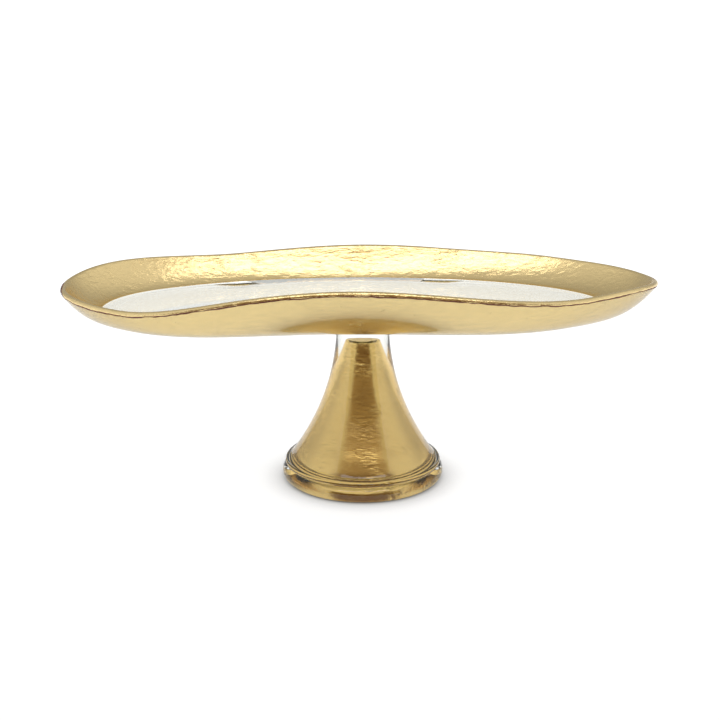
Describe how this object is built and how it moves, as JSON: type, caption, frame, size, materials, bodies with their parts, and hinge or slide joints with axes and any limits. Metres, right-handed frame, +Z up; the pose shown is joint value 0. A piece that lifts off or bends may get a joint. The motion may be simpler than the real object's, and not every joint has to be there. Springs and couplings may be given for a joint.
{
  "type": "footed cake stand",
  "caption": "Long oval glass cake stand with a wavy, gold-leafed rim wall round a clear floor, on a flared hollow pedestal foot.",
  "frame": {"origin": "on the pedestal's axis at table level, under the middle of the plate", "axes": "+Z up, the pedestal's axis; +X along the plate's long side; -Y towards the front, where the rim is lifted"},
  "size_m": [0.398, 0.196, 0.156],
  "materials": {
    "clear_glass": "clear slumped and pressed soda-lime glass, fire-polished lip",
    "gold_leaf": "hand-laid gold leaf, crinkled, under clear varnish",
    "clear_bond": "clear glass adhesive, cured"
  },
  "bodies": {
    "root": {"plate_glass": "clear_glass", "plate_leaf": "gold_leaf", "pedestal_glass": "clear_glass", "pedestal_leaf": "gold_leaf", "bond_disc": "clear_bond"}
  },
  "joints": []
}
